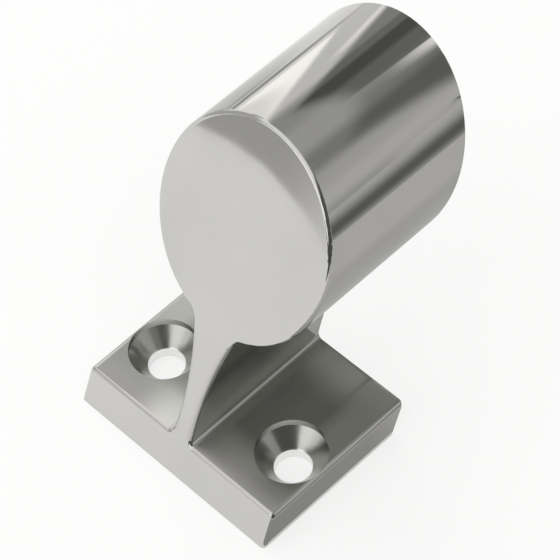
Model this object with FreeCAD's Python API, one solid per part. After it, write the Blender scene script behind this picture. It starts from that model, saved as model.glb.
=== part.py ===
"""End bracket for a round handrail: one polished stainless steel casting.

A rectangular foot carries a slim upright web, and the web carries a round socket that is closed at the
front and open at the back.  Foot, web and socket share one front plane and one back plane, and both
planes lean back, so that the bracket stands as a raked slice of a single outline.

Frame: +X to the right seen from the front, +Y from the closed end to the socket's mouth, +Z up.
Origin: midway between the two screw holes, on the face of the foot that is screwed down.
"""
import FreeCAD
import Part
import math
import os

from FreeCAD import Vector

# Driving dimensions, in millimetres and degrees
rail_diameter = 25.4          # the round rail that plugs into the socket
rail_clearance = 0.1          # on the radius, between rail and bore
socket_wall = 2.2             # round the bore
end_wall = 2.6                # least thickness between the bore's flat seat and the front face
rail_height = 37.6            # from the mounting face up to the rail's axis
rake = 25.0                   # how far the front and back faces lean back from upright
length = 25.7                 # from the front face to the back face, along the rail

foot_width = 36.7
foot_thickness = 5.4
foot_edge_radius = 0.9        # rounded long edges on top of the foot
foot_front_setback = 11.6     # from the front bottom edge back to the line of the screw holes

web_waist = 3.2               # thickness of the web where it is thinnest
web_waist_height = 9.0        # from the mounting face
web_hollow_radius = 45.0      # hollow sides of the web
web_root_radius = 0.8         # between web and foot
web_head_radius = 2.2         # between web and socket

screw_spacing = 25.4
screw_hole_diameter = 5.4     # through hole for an M5 screw
countersink_diameter = 10.4
countersink_recess = 1.2      # straight part above the cone, which sinks the screw's head
countersink_angle = 90.0      # full angle of the cone

front_edge_radius = 0.65      # polished edge all round the front face
back_chamfer = 0.4            # edge break all round the back face
mouth_chamfer = 0.5           # lead-in at the mouth of the bore

# Derived dimensions
bore_radius = rail_diameter / 2 + rail_clearance
socket_radius = bore_radius + socket_wall
lean = math.tan(math.radians(rake))
front_y = -foot_front_setback
back_y = front_y + length
socket_centre = Vector(0, 0, rail_height)
top_z = rail_height + socket_radius
seat_y = front_y + lean * (rail_height + bore_radius) + end_wall / math.cos(math.radians(rake))
countersink_floor = foot_thickness - countersink_recess


def face_y(z, y_at_foot):
    """Y of a raked face at height z, for a face that meets the mounting face at y_at_foot."""
    return y_at_foot + lean * z


def towards(start, end, distance):
    """The point at a distance from start on the way to end."""
    return start + (end - start).normalize() * distance


def circles_meet(centre_a, radius_a, centre_b, radius_b, side):
    """Where two circles in the XZ plane cross, on the given side (+1 or -1) of the line from a to b."""
    span = centre_b - centre_a
    along = (span.Length ** 2 + radius_a ** 2 - radius_b ** 2) / (2 * span.Length)
    across = math.sqrt(radius_a ** 2 - along ** 2)
    unit = Vector(span).normalize()
    return centre_a + unit * along + Vector(-unit.z, 0, unit.x) * (side * across)


def fillet_arc(centre, radius, start, end):
    """The shorter arc of a circle from start to end."""
    middle = towards(centre, (start + end) * 0.5, radius)
    return Part.Arc(start, middle, end).toShape()


def right_side():
    """Edges of the outline's right side seen from the front, from the foot's bottom up to the socket."""
    half_width = foot_width / 2
    edge = foot_edge_radius
    bottom_corner = Vector(half_width, 0, 0)
    side_top = Vector(half_width, 0, foot_thickness - edge)
    edge_centre = Vector(half_width - edge, 0, foot_thickness - edge)
    edge_end = Vector(half_width - edge, 0, foot_thickness)

    hollow_centre = Vector(web_waist / 2 + web_hollow_radius, 0, web_waist_height)
    root_z = foot_thickness + web_root_radius
    root_reach = web_hollow_radius - web_root_radius
    root_x = hollow_centre.x - math.sqrt(root_reach ** 2 - (root_z - hollow_centre.z) ** 2)
    root_centre = Vector(root_x, 0, root_z)
    root_start = Vector(root_x, 0, foot_thickness)
    hollow_start = towards(hollow_centre, root_centre, web_hollow_radius)

    head_centre = circles_meet(hollow_centre, web_hollow_radius - web_head_radius,
                               socket_centre, socket_radius + web_head_radius, 1)
    hollow_end = towards(hollow_centre, head_centre, web_hollow_radius)
    socket_start = towards(socket_centre, head_centre, socket_radius)

    return [
        Part.makeLine(bottom_corner, side_top),
        fillet_arc(edge_centre, edge, side_top, edge_end),
        Part.makeLine(edge_end, root_start),
        fillet_arc(root_centre, web_root_radius, root_start, hollow_start),
        fillet_arc(hollow_centre, web_hollow_radius, hollow_start, hollow_end),
        fillet_arc(head_centre, web_head_radius, hollow_end, socket_start),
    ]


def outline():
    """Closed outline of foot, web and socket in the plane y = 0."""
    right = right_side()
    left = [edge.mirror(Vector(0, 0, 0), Vector(1, 0, 0)) for edge in right]
    foot_right = right[0].firstVertex().Point
    foot_left = Vector(-foot_right.x, 0, foot_right.z)
    socket_right = right[-1].lastVertex().Point
    socket_left = Vector(-socket_right.x, 0, socket_right.z)
    bottom = Part.makeLine(foot_left, foot_right)
    socket = Part.Arc(socket_right, Vector(0, 0, top_z), socket_left).toShape()
    return Part.Wire(Part.__sortEdges__([bottom, *right, socket, *left]))


def raked_slice():
    """The outline swept along the rail and cut off by the two raked faces."""
    section = Part.Face(outline())
    section.translate(Vector(0, front_y, 0))
    bar = section.extrude(Vector(0, face_y(top_z, back_y) - front_y, 0))
    slab_height = 2 * top_z
    slab_corners = [
        Vector(-foot_width, face_y(-top_z, front_y), -top_z),
        Vector(-foot_width, face_y(-top_z, back_y), -top_z),
        Vector(-foot_width, face_y(slab_height, back_y), slab_height),
        Vector(-foot_width, face_y(slab_height, front_y), slab_height),
    ]
    slab_side = Part.makePolygon([*slab_corners, slab_corners[0]])
    slab = Part.Face(slab_side).extrude(Vector(2 * foot_width, 0, 0))
    return bar.common(slab)


def on_raked_face(edge, y_at_foot):
    """True where every point of the edge lies on the raked face that starts at y_at_foot."""
    points = edge.discretize(7)
    return all(abs(point.y - face_y(point.z, y_at_foot)) < 1e-4 for point in points)


def on_bottom(edge):
    return all(abs(vertex.Z) < 1e-6 for vertex in edge.Vertexes)


def rim(body, y_at_foot):
    """Every edge of one raked face, apart from the one on the mounting face."""
    return [edge for edge in body.Edges if on_raked_face(edge, y_at_foot) and not on_bottom(edge)]


def screw_hole(x):
    """Through hole, cone and straight recess for one countersunk screw."""
    hole_radius = screw_hole_diameter / 2
    head_radius = countersink_diameter / 2
    cone_depth = (head_radius - hole_radius) / math.tan(math.radians(countersink_angle / 2))
    up = Vector(0, 0, 1)
    shank = Part.makeCylinder(hole_radius, foot_thickness, Vector(x, 0, 0), up)
    cone_base = Vector(x, 0, countersink_floor - cone_depth)
    cone = Part.makeCone(hole_radius, head_radius, cone_depth, cone_base, up)
    recess = Part.makeCylinder(head_radius, countersink_recess, Vector(x, 0, countersink_floor), up)
    return shank.fuse([cone, recess])


def socket_bore():
    """Blind bore for the rail, from its square seat out through the raked back face."""
    depth = face_y(top_z, back_y) - seat_y
    return Part.makeCylinder(bore_radius, depth, Vector(0, seat_y, rail_height), Vector(0, 1, 0))


def on_bore(edge):
    points = edge.discretize(7)
    return all(abs(math.hypot(point.x, point.z - rail_height) - bore_radius) < 1e-4 for point in points)


def bracket_casting():
    body = raked_slice()
    body = body.makeFillet(front_edge_radius, rim(body, front_y))
    body = body.makeChamfer(back_chamfer, rim(body, back_y))
    body = body.cut([socket_bore(), screw_hole(-screw_spacing / 2), screw_hole(screw_spacing / 2)])
    mouth = [edge for edge in body.Edges if on_bore(edge) and on_raked_face(edge, back_y)]
    return body.makeChamfer(mouth_chamfer, mouth)


os.makedirs("parts", exist_ok=True)
bracket_casting().exportStep("parts/bracket_casting.step")
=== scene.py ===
"""Looks of the raked handrail bracket: polished casting, pale floor and a small studio round it."""
import math

import bpy
from mathutils import Matrix, Vector


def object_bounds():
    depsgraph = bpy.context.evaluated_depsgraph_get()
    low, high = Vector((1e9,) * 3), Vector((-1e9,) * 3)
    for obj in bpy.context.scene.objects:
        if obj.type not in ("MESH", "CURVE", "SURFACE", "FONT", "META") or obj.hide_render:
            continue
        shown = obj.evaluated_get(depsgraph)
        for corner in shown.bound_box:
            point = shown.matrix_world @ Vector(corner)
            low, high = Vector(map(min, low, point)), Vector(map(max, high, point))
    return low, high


MM = 0.001

# What the casting's finish follows, in metres (the same values as the model's own)
RAIL_HEIGHT = 37.6 * MM
BORE_RADIUS = 12.8 * MM
SCREW_X = 12.7 * MM
HEAD_RADIUS = 5.2 * MM
HOLE_RADIUS = 2.7 * MM
FOOT_THICKNESS = 5.4 * MM
FOOT_HALF = 18.35 * MM
WEB_HALF = 1.6 * MM
WEB_WAIST_HEIGHT = 9.0 * MM
WEB_HOLLOW_RADIUS = 45.0 * MM
FRONT_Y = -11.6 * MM
RAKE = math.radians(25.0)
LENGTH = 25.7 * MM


class Value:
    """A socket that Python's operators turn into Math nodes."""

    def __init__(self, graph, socket):
        self.graph = graph
        self.socket = socket

    def math(self, operation, *others):
        return self.graph.add("ShaderNodeMath", {"operation": operation}, [self, *others])

    def __add__(self, other):
        return self.math("ADD", other)

    __radd__ = __add__

    def __sub__(self, other):
        return self.math("SUBTRACT", other)

    def __rsub__(self, other):
        return self.graph.add("ShaderNodeMath", {"operation": "SUBTRACT"}, [other, self])

    def __mul__(self, other):
        return self.math("MULTIPLY", other)

    __rmul__ = __mul__

    def __truediv__(self, other):
        return self.math("DIVIDE", other)

    def __abs__(self):
        return self.math("ABSOLUTE")

    def hypot(self, other):
        return (self * self + other * other).math("SQRT")

    def either(self, other):
        return self.math("MAXIMUM", other)

    def ramp(self, low, high):
        """0 at low, 1 at high, smooth between."""
        return self.graph.add("ShaderNodeMapRange", {"interpolation_type": "SMOOTHSTEP"},
                              {"Value": self, "From Min": low, "From Max": high})

    def rise(self, low, high):
        """0 at low, 1 at high, both in millimetres."""
        return self.ramp(low * MM, high * MM)

    def drop(self, low, high):
        """1 at low, 0 at high, both in millimetres."""
        return 1 - self.rise(low, high)


class Graph:
    """The node tree of one material or of the world."""

    def __init__(self, owner):
        owner.use_nodes = True
        self.tree = owner.node_tree
        self.tree.nodes.clear()

    def add(self, kind, settings=None, inputs=(), output=0):
        """Add a node: its settings first, then the values or links of its sockets."""
        node = self.tree.nodes.new(kind)
        for name, setting in (settings or {}).items():
            setattr(node, name, setting)
        pairs = inputs.items() if isinstance(inputs, dict) else enumerate(inputs)
        for key, given in pairs:
            if isinstance(given, Value):
                self.tree.links.new(given.socket, node.inputs[key])
            else:
                node.inputs[key].default_value = given
        return Value(self, node.outputs[output]) if node.outputs else node

    def mix(self, factor, first, second):
        """Mix two colours."""
        return self.add("ShaderNodeMix", {"data_type": "RGBA"}, {0: factor, 6: first, 7: second}, output=2)

    def place(self):
        """Where a point lies on its object, in metres."""
        return self.add("ShaderNodeTexCoord", output=3)

    def axes(self, vector):
        """X, Y and Z of a vector."""
        split = self.add("ShaderNodeSeparateXYZ", None, [vector]).socket.node
        return [Value(self, socket) for socket in split.outputs]

    def noise(self, vector, scale, detail):
        return self.add("ShaderNodeTexNoise", None, {"Vector": vector, "Scale": scale, "Detail": detail})


def blend(mask, below, above):
    return below * (1 - mask) + above * mask


# ---------------------------------------------------------------- the casting's finish

STEEL = (0.61, 0.602, 0.582, 1.0)
STEEL_SHADE = (0.57, 0.563, 0.545, 1.0)
# Painted shade beside the web
SHADED_RECESS_STEEL = (0.432, 0.443, 0.410, 1.0)
# Painted shade under the socket
POCKET_SHADE_STEEL = (0.243, 0.253, 0.230, 1.0)
SEAT_STEEL = (0.480, 0.490, 0.460, 1.0)
# Brighter than steel can be: painted light in the screw holes
HOLE_PAINTED_LIGHT = (0.86, 0.86, 0.85, 1.0)
BORE_STEEL = (0.48, 0.475, 0.46, 1.0)
GROUND_STEEL = (0.50, 0.495, 0.48, 1.0)

POLISH = 0.035              # roughness of the mirror polish
BORE_MARKS = 0.12 * MM      # the turning marks repeat every 2 pi times this
SEAT_MARKS = 0.10 * MM


class Zones:
    """Where each kind of finish lies on the casting, as masks between 0 and 1."""

    def __init__(self, graph):
        self.place = graph.place()
        x, y, z = graph.axes(self.place)
        from_front = y - z * math.tan(RAKE) - FRONT_Y
        self.from_rail = x.hypot(z - RAIL_HEIGHT)
        self.from_screw = (abs(x) - SCREW_X).hypot(y)

        in_foot = (z - FOOT_THICKNESS).drop(-0.05, 0)
        self.bore = (self.from_rail - BORE_RADIUS).drop(0.1, 0.3) * from_front.rise(1, 2)
        self.seat = (self.from_screw - HEAD_RADIUS).drop(-0.02, 0.08) * in_foot
        # The screw holes, which get a painted lighter colour
        self.hole = (self.from_screw - HOLE_RADIUS).drop(0.02, 0.2) * in_foot
        self.base = z.drop(0.02, 0.08)

        # Beside the web, where the polishing wheel reaches less well: a duller polish, and a darker colour
        # that is painted shade
        behind_front = from_front.rise(0.5, 8).either(from_front.rise(0.3, 1.2) * z.rise(6, 9))
        before_back = 1 - (from_front - LENGTH).rise(-7, -0.5) * 0.6
        inside_ends = (abs(x) - FOOT_HALF).drop(-1.0, -0.2)
        self.dull_shaded_recess = behind_front * before_back * inside_ends * z.drop(19, 26) * (1 - self.seat)
        self.on_web = z.rise(6, 8)

        # The foot's top between web and screws, right under the socket, painted darker as shade
        self.pocket_shade = (abs(x).rise(2.5, 4.5) * abs(x).drop(11, 15) * y.rise(-5, -1) * y.drop(8, 14)
                       * z.drop(5.6, 6) * (1 - self.seat))

        # Front edges of the web, which follow its hollow sides
        above_waist = z - WEB_WAIST_HEIGHT
        hollow = above_waist * above_waist / (2 * WEB_HOLLOW_RADIUS)
        near_flank = (abs(x) - WEB_HALF - hollow).rise(-1.0, -0.7)
        self.web_edge = near_flank * from_front.drop(0.6, 1.0) * z.rise(5.8, 6.4) * z.drop(20, 23)

        # Front right part of the foot's top
        on_top = (z - FOOT_THICKNESS).rise(-0.15, -0.05) * (z - FOOT_THICKNESS).drop(0.05, 0.2)
        self.front_corner = on_top * y.drop(-6, -2) * x.rise(0, 2) * (1 - self.seat)


def finish_colour(graph, zones, cloud):
    colour = graph.mix(cloud.ramp(0.3, 0.8), STEEL, STEEL_SHADE)
    for mask, steel in (
            (zones.dull_shaded_recess * (1 - zones.on_web * 0.7), SHADED_RECESS_STEEL),
            (zones.pocket_shade, POCKET_SHADE_STEEL),
            (zones.bore, BORE_STEEL),
            (zones.seat, SEAT_STEEL),
            (zones.hole, HOLE_PAINTED_LIGHT),
            (zones.base, GROUND_STEEL)):
        colour = graph.mix(mask, colour, steel)
    return colour


def finish_roughness(zones, cloud, smear):
    polished = POLISH + cloud.ramp(0.35, 0.75) * 0.02 + smear.ramp(0.5, 0.8) * 0.01
    machined = zones.bore * 0.20 + zones.seat * 0.19 + zones.base * 0.25
    duller = zones.dull_shaded_recess * 0.09 + zones.web_edge * 0.30 + zones.front_corner * 0.18
    return polished + machined + duller


def finish_height(graph, zones):
    """Slow waves and fine streaks along the rail from polishing, and rings where a tool turned."""
    along_rail = graph.add("ShaderNodeVectorMath", {"operation": "MULTIPLY"}, [zones.place, (1.0, 0.06, 1.0)])
    streaks = graph.noise(along_rail, 900.0, 3.0)
    waves = graph.noise(zones.place, 90.0, 1.0)
    turns = zones.from_rail / BORE_MARKS * zones.bore + zones.from_screw / SEAT_MARKS * zones.seat
    rings = turns.math("SINE") * zones.bore.either(zones.seat)
    return waves * 0.010 + streaks * 0.0012 + rings * 0.004


def polished_steel():
    """Mirror polish outside, duller beside the web with painted shade there, painted shade under the socket,
    painted light in the screw holes, turned bore and screw seats, ground base.
    """
    material = bpy.data.materials.new("polished_steel")
    graph = Graph(material)
    zones = Zones(graph)
    cloud = graph.noise(zones.place, 60.0, 3.0)
    smear = graph.noise(zones.place, 400.0, 4.0)
    bump = graph.add("ShaderNodeBump", None, {
        "Strength": 0.25, "Distance": 1 * MM, "Height": finish_height(graph, zones)})
    shader = graph.add("ShaderNodeBsdfPrincipled", None, {
        "Base Color": finish_colour(graph, zones, cloud), "Metallic": 1.0,
        "Roughness": finish_roughness(zones, cloud, smear), "Normal": bump})
    graph.add("ShaderNodeOutputMaterial", None, {"Surface": shader})
    return material


# ---------------------------------------------------------------- floor and background

WHITE = (1.0, 1.0, 0.995, 1.0)
FLOOR_PAINT = (0.93, 0.93, 0.925, 1.0)
SOFT_LIGHT = (0.45, 0.45, 0.445, 1.0)


def seen_directly(graph):
    """1 for what the camera, the metal's reflections and glass see, 0 for soft light."""
    path = graph.add("ShaderNodeLightPath").socket.node
    camera, glossy, transmitted = (Value(graph, path.outputs[name]) for name in (
        "Is Camera Ray", "Is Glossy Ray", "Is Transmission Ray"))
    return camera.either(glossy).either(transmitted)


def floor_material():
    """Pale floor that keeps a light shadow and turns as white as the background far off."""
    material = bpy.data.materials.new("floor")
    graph = Graph(material)
    x, y, _ = graph.axes(graph.place())
    paleness = 0.75 + x.hypot(y).ramp(0.4, 1.2) * 0.25
    lit = graph.add("ShaderNodeBsdfDiffuse", None, {"Color": FLOOR_PAINT})
    pale = graph.add("ShaderNodeEmission", None, {"Color": WHITE, "Strength": 1.0})
    surface = graph.add("ShaderNodeMixShader", None, {0: seen_directly(graph) * paleness, 1: lit, 2: pale})
    graph.add("ShaderNodeOutputMaterial", None, {"Surface": surface})
    return material


def build_world():
    """Plain white behind the bracket, and soft grey light from all round."""
    world = bpy.data.worlds.new("studio")
    bpy.context.scene.world = world
    graph = Graph(world)
    glow = graph.add("ShaderNodeBackground", None, {"Color": SOFT_LIGHT, "Strength": 1.0})
    white = graph.add("ShaderNodeBackground", None, {"Color": WHITE, "Strength": 1.0})
    both = graph.add("ShaderNodeMixShader", None, {0: seen_directly(graph), 1: glow, 2: white})
    graph.add("ShaderNodeOutputWorld", None, {"Surface": both})


# ---------------------------------------------------------------- cards that the metal mirrors

CARD_WHITE = (1.0, 1.0, 0.985, 1.0)
CARD_BLACK = (0.0, 0.0, 0.0, 1.0)
BRIGHTEST = 1.6             # the brightest that a shaded card can be
WINDOW = 1.50
GLINT = 1.42
SOFTBOX = 1.30
FLAG = 0.12


def studio_card(name, corners, faces, material):
    mesh = bpy.data.meshes.new(name)
    mesh.from_pydata([tuple(corner) for corner in corners], [], faces)
    mesh.materials.append(material)
    card = bpy.data.objects.new(name, mesh)
    bpy.context.scene.collection.objects.link(card)
    return card


def card_material(name, brightness):
    """Evenly bright, or as brightness(x, y, z) says."""
    material = bpy.data.materials.new(name)
    graph = Graph(material)
    colour, strength = CARD_WHITE, brightness
    if callable(brightness):
        level = brightness(*graph.axes(graph.place())) / BRIGHTEST
        colour, strength = graph.mix(level, CARD_BLACK, CARD_WHITE), BRIGHTEST
    glow = graph.add("ShaderNodeEmission", None, {"Color": colour, "Strength": strength})
    graph.add("ShaderNodeOutputMaterial", None, {"Surface": glow})
    return material


def only_in_reflections(card):
    card.visible_camera = False
    card.visible_diffuse = False
    card.visible_shadow = False
    card.visible_transmission = False
    card.visible_volume_scatter = False


def upright_card(name, base, heights, brightness):
    """A card that stands on the line base, in millimetres, seen only in the metal."""
    low, high = heights
    corners = [Vector((x, y, z)) * MM for x, y in base for z in (low, high)]
    faces = [(i, i + 2, i + 3, i + 1) for i in range(0, len(corners) - 2, 2)]
    only_in_reflections(studio_card(name, corners, faces, card_material(name, brightness)))


def level_card(name, outline, height, brightness):
    """A flat card over the bracket or beside it, in millimetres, seen only in the metal."""
    corners = [Vector((x, y, height)) * MM for x, y in outline]
    only_in_reflections(studio_card(name, corners, [range(len(corners))], card_material(name, brightness)))


def arc(start, end, distance, steps=24):
    """Points round the bracket between two azimuths in degrees, 0 being +Y and 90 +X."""
    turns = [math.radians(start + (end - start) * step / steps) for step in range(steps + 1)]
    return [(math.sin(turn) * distance, math.cos(turn) * distance) for turn in turns]


def beside(x, y, start, end, soft):
    """1 on the left of the line from start to end, 0 on its right, in millimetres."""
    run = (end[0] - start[0], end[1] - start[1])
    length = math.hypot(*run)
    distance = (x - start[0] * MM) * (-run[1] / length) + (y - start[1] * MM) * (run[0] / length)
    return distance.rise(-soft, soft)


def grey_ceiling(x, y):
    """Plain grey with a dull stretch on the right, paler towards the window's pale edge."""
    dull_stretch = x.rise(15, 45) * x.drop(58, 92)
    over_web = x.rise(50, 60) * x.drop(74, 84) * y.rise(48, 58) * y.drop(60, 66)
    window_edge = (beside(x, y, (-65, 73), (-152, 128), 1.5) * (1 - beside(x, y, (-69, 69), (-156, 124), 2.5))
                   * y.rise(102, 118))
    return (0.38 + x.rise(-40, -10) * 0.09 - dull_stretch * 0.19 + x.rise(70, 110) * 0.05
            + x.rise(110, 170) * 0.08 + over_web * 0.45 + x.drop(-100, -64) * 0.42 + window_edge * 0.30)


def with_back_flag(x, y, level):
    """A flag over the back, in steps of dark grey, with a slit of light through it."""
    over_back = (y - x * 0.035).rise(69, 77)
    flag = (over_back * (1 - beside(x, y, (-63, 75), (-150, 130), 3)) * beside(x, y, (71, 81), (109, 112), 11)
            * y.drop(280, 320))
    grey = (0.31 - x.rise(-98, -84) * 0.11 - x.rise(-70, -58) * 0.10 + x.rise(-38, -24) * 0.08
            + x.rise(-10, 8) * 0.04 + x.rise(8, 20) * 0.05 - x.rise(24, 50) * 0.11)
    slit = ((1 - beside(x, y, (-3, 72), (5, 93), 1.5)) * beside(x, y, (10, 72), (20, 93), 9) * over_back
            * (0.14 + y.rise(80, 98) * 0.9))
    return blend(flag, level, grey) + slit


def with_window(x, y, level):
    """A white window on the left, duller near the bracket, over the foot and far out."""
    window = beside(x, y, (-125, 93), (-458, 268.5), 2.5) * x.drop(-74, -62)
    near = beside(x, y, (-133, 95), (-301, 165), 6)
    over_foot = x.drop(-94, -85) * y.drop(54, 70) * x.rise(-150, -125)
    return blend(window, level, WINDOW - near * 0.42 - over_foot * 0.50 - x.drop(-900, -500) * 0.5)


def with_front(x, y, level):
    """Half white over the front, black beyond it, a dark flag on its right and a bright strip across it."""
    beyond = y.drop(-440, -380) * x.rise(-60, -20)
    level = blend(y.drop(-10, 30), level, 0.55 + x.rise(-120, -90) * 0.50 - beyond * 0.8)
    level = blend(x.rise(40, 80) * y.drop(20, 50), level, FLAG)
    strip = x.rise(-80, -65) * x.drop(85, 105) * y.drop(-180, -160) * y.rise(-370, -340)
    return blend(strip, level, GLINT)


def ceiling(x, y, z):
    level = with_back_flag(x, y, grey_ceiling(x, y))
    right = x.rise(200, 330)
    far_right = right * beside(x, y, (286, 172), (488, 268), 8)
    level = level * (1 - (1 - far_right) * right * 0.25)
    return with_front(x, y, with_window(x, y, level))


# Painted floor shade: a grey sheet right of the bracket, seen only in the metal, darker close to the foot as
# a painted contact shadow
def right_floor_shade(x, y, z):
    clear_of_contact_shade = x.rise(19, 37).either(y.rise(8, 20))
    return 0.36 + clear_of_contact_shade * 0.16 + x.rise(37, 62) * 0.09


def left_board(x, y, z):
    near = 0.76 - x.drop(-420, -220) * 0.18
    return blend(beside(x, y, (-35, 44), (-513, 268), 12), 0.98, near)


def right_kerb(x, y, z):
    return 0.55 - z.rise(-18, 34) * z.drop(44, 108) * 0.405


def left_kerb(x, y, z):
    return 0.42 + y.rise(136, 166) * 0.42


def front_kerb(x, y, z):
    return 0.48 + x.rise(-128, -85) * 0.34


def build_stage():
    reach = 3.0
    studio_card("floor", [(-reach, -reach, 0), (reach, -reach, 0), (reach, reach, 0), (-reach, reach, 0)],
                [range(4)], floor_material())

    wide = 1600
    ceiling_height = 150
    board_height = 0.1
    round_bracket = 280
    level_card("ceiling", [(-wide, -wide), (wide, -wide), (wide, wide), (-wide, wide)],
               ceiling_height, ceiling)
    # Painted floor shade on the right of the bracket
    level_card("right_floor_shade", [(18.6, -60), (270, -60), (270, 600), (-22, 600), (-22, 15), (18.6, 15)],
               board_height, right_floor_shade)
    level_card("left_board", [(-800, 0), (-23, 0), (-23, 500), (-800, 500)], board_height, left_board)
    upright_card("right_kerb", arc(55, 80, round_bracket), (0, 112), right_kerb)
    upright_card("left_kerb", arc(-110, -30, round_bracket), (42, 64), left_kerb)
    upright_card("right_front_flag", arc(82, 146, round_bracket), (0, ceiling_height - 1), 0.10)
    upright_card("right_back_flag", arc(18, 54, round_bracket), (20, ceiling_height - 1), 0.12)
    upright_card("front_softbox", arc(152, 216, 300), (98, ceiling_height - 1), SOFTBOX)
    upright_card("front_kerb", [(-156, -180), (-152, -190), (-147, -208), (-140, -217), (-130, -218),
                                (-118, -211), (-105, -202), (-93, -191), (-80, -178)], (0, 30), front_kerb)


# ---------------------------------------------------------------- lamps

LAMP_DISTANCE = 1.2


def towards(azimuth, elevation, distance):
    """A point seen from the bracket; azimuth 0 is +Y and grows towards +X, both in degrees."""
    turn, rise = math.radians(azimuth), math.radians(elevation)
    flat = math.cos(rise)
    return Vector((math.sin(turn) * flat, math.cos(turn) * flat, math.sin(rise))) * distance


def area_lamp(name, azimuth, elevation, size, power, target):
    data = bpy.data.lights.new(name, "AREA")
    data.shape = "SQUARE"
    data.size = size
    data.energy = power
    lamp = bpy.data.objects.new(name, data)
    lamp.location = target + towards(azimuth, elevation, LAMP_DISTANCE)
    lamp.rotation_euler = (target - lamp.location).to_track_quat("-Z", "Y").to_euler()
    lamp.visible_glossy = False
    bpy.context.scene.collection.objects.link(lamp)


def build_lamps(centre):
    area_lamp("key", -60, 50, 0.9, 5.6, centre)
    area_lamp("fill", 100, 60, 1.0, 3.4, centre)
    area_lamp("front", -160, 50, 1.0, 3.4, centre)


# ---------------------------------------------------------------- camera

VIEW_AZIMUTH = math.radians(49.52)
VIEW_ELEVATION = math.radians(52.93)
VIEW_ROLL = math.radians(-5.70)
VIEW_DISTANCE = 0.3529
VIEW_LENS = 163.27
AIM = Vector((-3.65, 14.91, 15.10)) * MM


def build_camera():
    data = bpy.data.cameras.new("camera")
    data.lens = VIEW_LENS
    data.sensor_width = 36.0
    data.clip_start = 0.01
    camera = bpy.data.objects.new("camera", data)
    flat = math.cos(VIEW_ELEVATION)
    back = Vector((math.sin(VIEW_AZIMUTH) * flat, -math.cos(VIEW_AZIMUTH) * flat, math.sin(VIEW_ELEVATION)))
    level_right = Vector((0, 0, 1)).cross(back).normalized()
    level_up = back.cross(level_right)
    right = level_right * math.cos(VIEW_ROLL) + level_up * math.sin(VIEW_ROLL)
    up = back.cross(right)
    turn = Matrix((right, up, back)).transposed()
    camera.matrix_world = Matrix.Translation(AIM + back * VIEW_DISTANCE) @ turn.to_4x4()
    bpy.context.scene.collection.objects.link(camera)
    bpy.context.scene.camera = camera


# ---------------------------------------------------------------- the scene

def dress(node, material):
    node.data.materials.clear()
    node.data.materials.append(material)


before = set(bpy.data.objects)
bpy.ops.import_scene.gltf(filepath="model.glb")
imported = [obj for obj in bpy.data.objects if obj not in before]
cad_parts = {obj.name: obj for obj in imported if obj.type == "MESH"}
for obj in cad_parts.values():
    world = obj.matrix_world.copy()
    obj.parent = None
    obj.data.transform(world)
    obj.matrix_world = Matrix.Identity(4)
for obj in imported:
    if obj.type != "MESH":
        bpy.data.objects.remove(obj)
cad_low, cad_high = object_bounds()
dress(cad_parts["bracket_casting"], polished_steel())
build_stage()
build_world()
build_lamps((cad_low + cad_high) / 2)
build_camera()
bpy.context.scene.view_settings.view_transform = "Standard"
